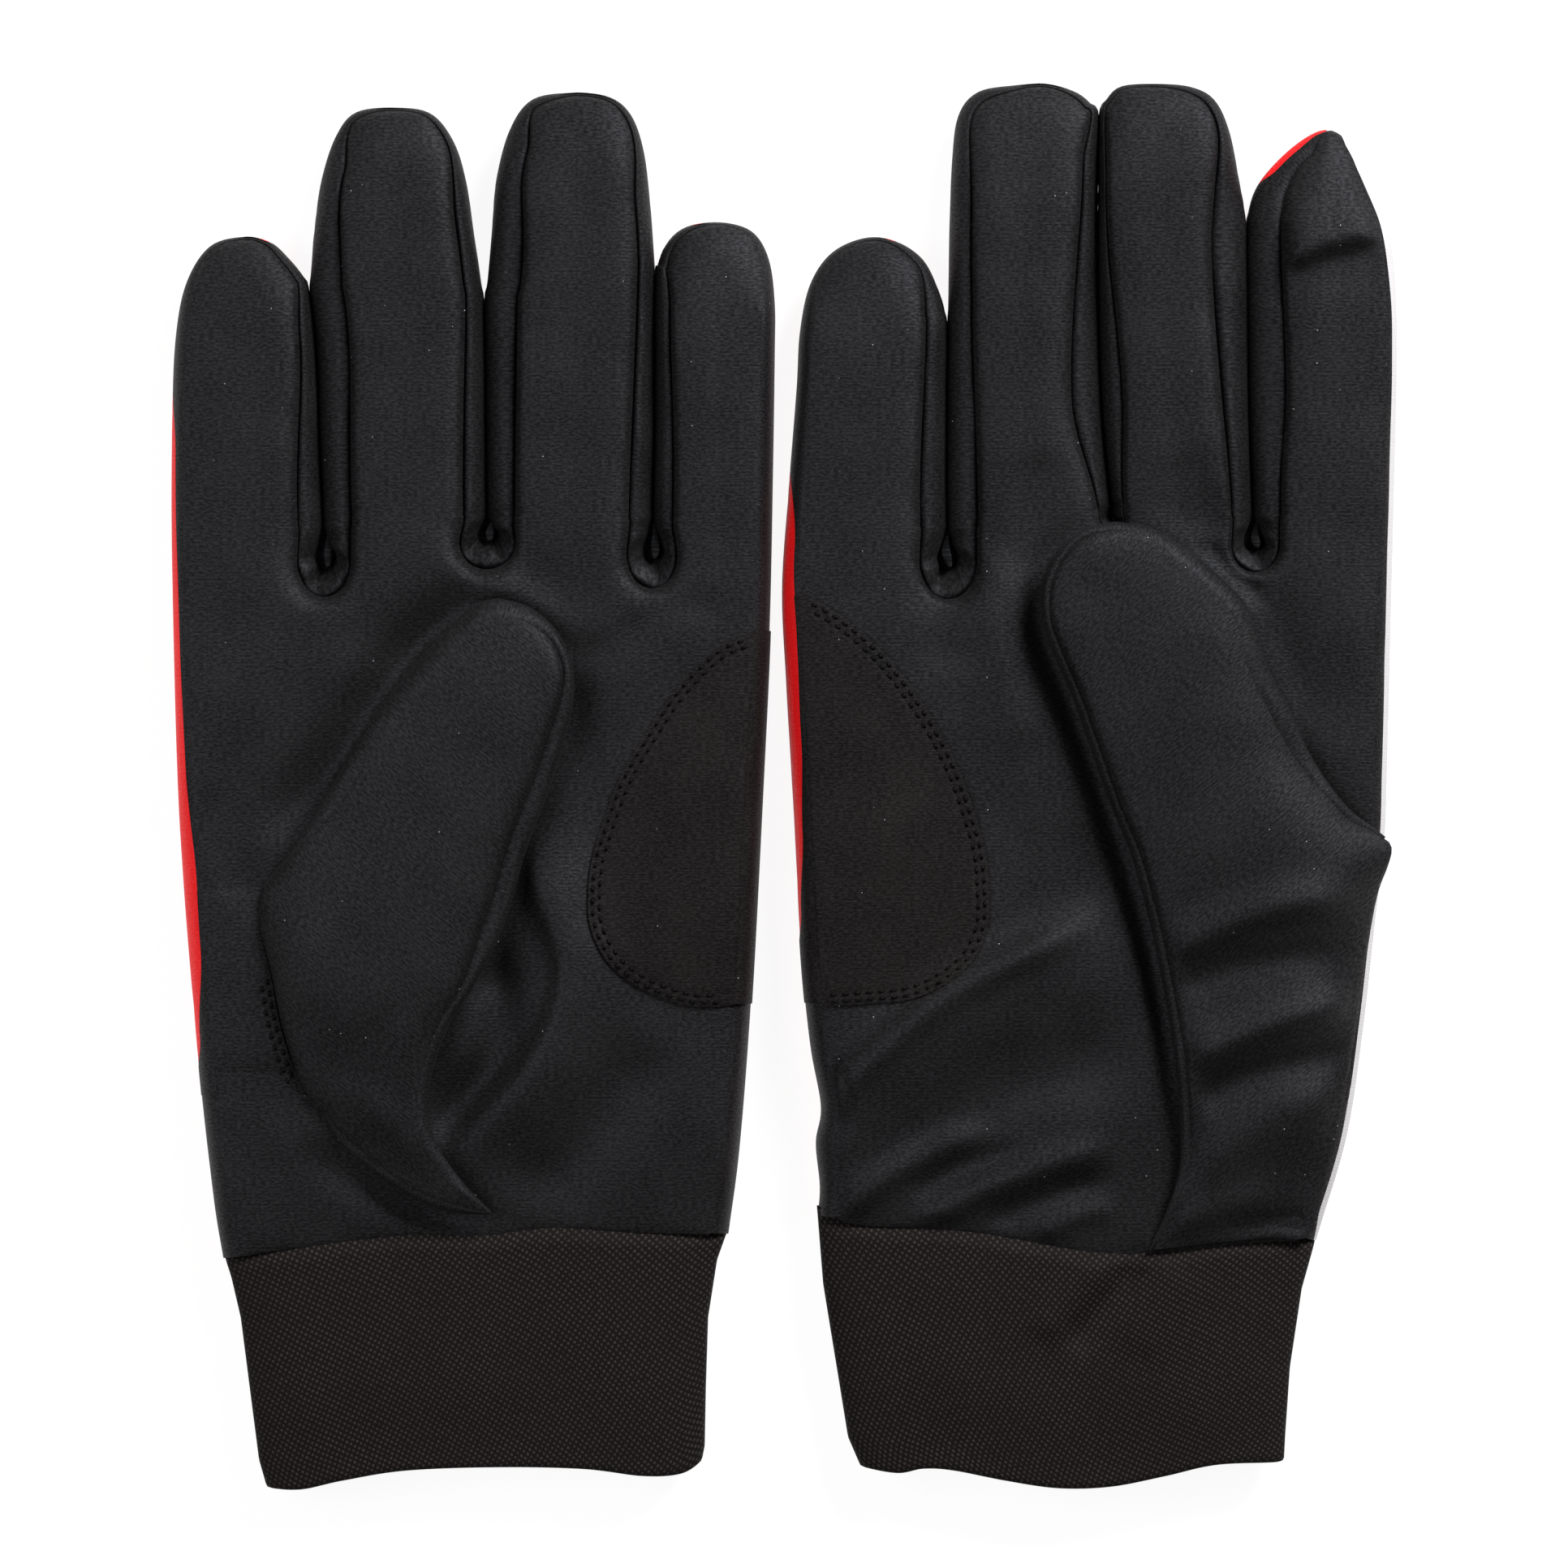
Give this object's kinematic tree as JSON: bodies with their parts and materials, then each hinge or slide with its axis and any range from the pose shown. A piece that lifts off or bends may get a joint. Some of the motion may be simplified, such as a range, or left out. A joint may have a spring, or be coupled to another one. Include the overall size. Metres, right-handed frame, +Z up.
{
  "type": "pair of sports gloves",
  "caption": "Thin stretch winter sports gloves for the left and the right hand, lying palms up with the thumbs folded in, with padded heel patches and knitted cuffs.",
  "frame": {"origin": "under the middle of the pair, on the surface that the gloves lie on", "axes": "+X from the left glove to the right glove, +Y from the cuffs to the fingertips, +Z up, out of the palms"},
  "size_m": [0.2148, 0.248, 0.0273],
  "materials": {
    "softshell_black": "fine warp-knit stretch softshell, matt with a faint blue sheen",
    "fourchette_mesh": "fleecy stretch mesh",
    "patch_suede": "brushed synthetic palm cloth",
    "thread_black": "polyester sewing thread",
    "lining_fleece": "brushed fleece",
    "cuff_knit": "bird's-eye double knit, brownish black",
    "elastic_tape": "woven elastic tape",
    "label_satin": "blank satin ribbon",
    "stretch_red": "smooth stretch knit, red",
    "stretch_white": "smooth stretch knit, white"
  },
  "bodies": {
    "left_hand": {"left_palm_panel": "softshell_black", "left_back_panel": "stretch_red", "left_index_side_panel": "stretch_red", "left_pinky_side_panel": "softshell_black", "left_fourchettes": "fourchette_mesh", "left_heel_patch": "patch_suede", "left_patch_stitching": "thread_black", "left_crotch_patch": "patch_suede", "left_thumb_gusset": "softshell_black", "left_hand_lining": "lining_fleece", "left_cuff": "cuff_knit", "left_wrist_elastic": "elastic_tape", "left_care_label": "label_satin"},
    "left_thumb": {"left_thumb_back": "softshell_black", "left_thumb_sides": "softshell_black", "left_thumb_front": "softshell_black"},
    "left_index": {"left_index_back": "stretch_red", "left_index_sides": "fourchette_mesh", "left_index_front": "softshell_black"},
    "left_middle": {"left_middle_back": "softshell_black", "left_middle_sides": "fourchette_mesh", "left_middle_front": "softshell_black"},
    "left_ring": {"left_ring_back": "softshell_black", "left_ring_sides": "fourchette_mesh", "left_ring_front": "softshell_black"},
    "left_pinky": {"left_pinky_back": "stretch_red", "left_pinky_sides": "fourchette_mesh", "left_pinky_front": "softshell_black"},
    "right_hand": {"right_palm_panel": "softshell_black", "right_back_panel": "stretch_red", "right_index_side_panel": "stretch_white", "right_pinky_side_panel": "stretch_red", "right_fourchettes": "fourchette_mesh", "right_heel_patch": "patch_suede", "right_patch_stitching": "thread_black", "right_crotch_patch": "patch_suede", "right_thumb_gusset": "softshell_black", "right_hand_lining": "lining_fleece", "right_cuff": "cuff_knit", "right_wrist_elastic": "elastic_tape", "right_care_label": "label_satin"},
    "right_thumb": {"right_thumb_back": "softshell_black", "right_thumb_sides": "softshell_black", "right_thumb_front": "softshell_black"},
    "right_index": {"right_index_back": "stretch_red", "right_index_sides": "fourchette_mesh", "right_index_front": "softshell_black"},
    "right_middle": {"right_middle_back": "softshell_black", "right_middle_sides": "fourchette_mesh", "right_middle_front": "softshell_black"},
    "right_ring": {"right_ring_back": "softshell_black", "right_ring_sides": "fourchette_mesh", "right_ring_front": "softshell_black"},
    "right_pinky": {"right_pinky_back": "stretch_red", "right_pinky_sides": "fourchette_mesh", "right_pinky_front": "softshell_black"}
  },
  "joints": [
    {"name": "pair_slide", "type": "slide", "parent": "left_hand", "child": "right_hand", "axis": [1, 0, 0], "range_m": [0, 0.12]},
    {"name": "left_index_bend", "type": "hinge", "parent": "left_hand", "child": "left_index", "pos_m": [-0.0957, 0.062, 0.014], "axis": [1, 0, 0], "range_deg": [0, 90]},
    {"name": "left_middle_bend", "type": "hinge", "parent": "left_hand", "child": "left_middle", "pos_m": [-0.0682, 0.062, 0.014], "axis": [1, 0, 0], "range_deg": [0, 90]},
    {"name": "left_ring_bend", "type": "hinge", "parent": "left_hand", "child": "left_ring", "pos_m": [-0.0376, 0.062, 0.014], "axis": [1, 0, 0], "range_deg": [0, 90]},
    {"name": "left_pinky_bend", "type": "hinge", "parent": "left_hand", "child": "left_pinky", "pos_m": [-0.0116, 0.062, 0.014], "axis": [1, 0, 0], "range_deg": [0, 90]},
    {"name": "right_pinky_bend", "type": "hinge", "parent": "right_hand", "child": "right_pinky", "pos_m": [0.01555, 0.062, 0.014], "axis": [1, 0, 0], "range_deg": [0, 90]},
    {"name": "right_ring_bend", "type": "hinge", "parent": "right_hand", "child": "right_ring", "pos_m": [0.0423, 0.062, 0.014], "axis": [1, 0, 0], "range_deg": [0, 90]},
    {"name": "right_middle_bend", "type": "hinge", "parent": "right_hand", "child": "right_middle", "pos_m": [0.069, 0.062, 0.014], "axis": [1, 0, 0], "range_deg": [0, 90]},
    {"name": "right_index_bend", "type": "hinge", "parent": "right_hand", "child": "right_index", "pos_m": [0.0949, 0.062, 0.014], "axis": [1, 0, 0], "range_deg": [0, 90]},
    {"name": "left_thumb_bend", "type": "hinge", "parent": "left_hand", "child": "left_thumb", "pos_m": [-0.07585, -0.0352, 0.0153], "axis": [0.6862, -0.7274, 0], "range_deg": [0, 80]},
    {"name": "right_thumb_bend", "type": "hinge", "parent": "right_hand", "child": "right_thumb", "pos_m": [0.08705, -0.0255, 0.0153], "axis": [0.8017, 0.5977, 0], "range_deg": [0, 80]}
  ]
}
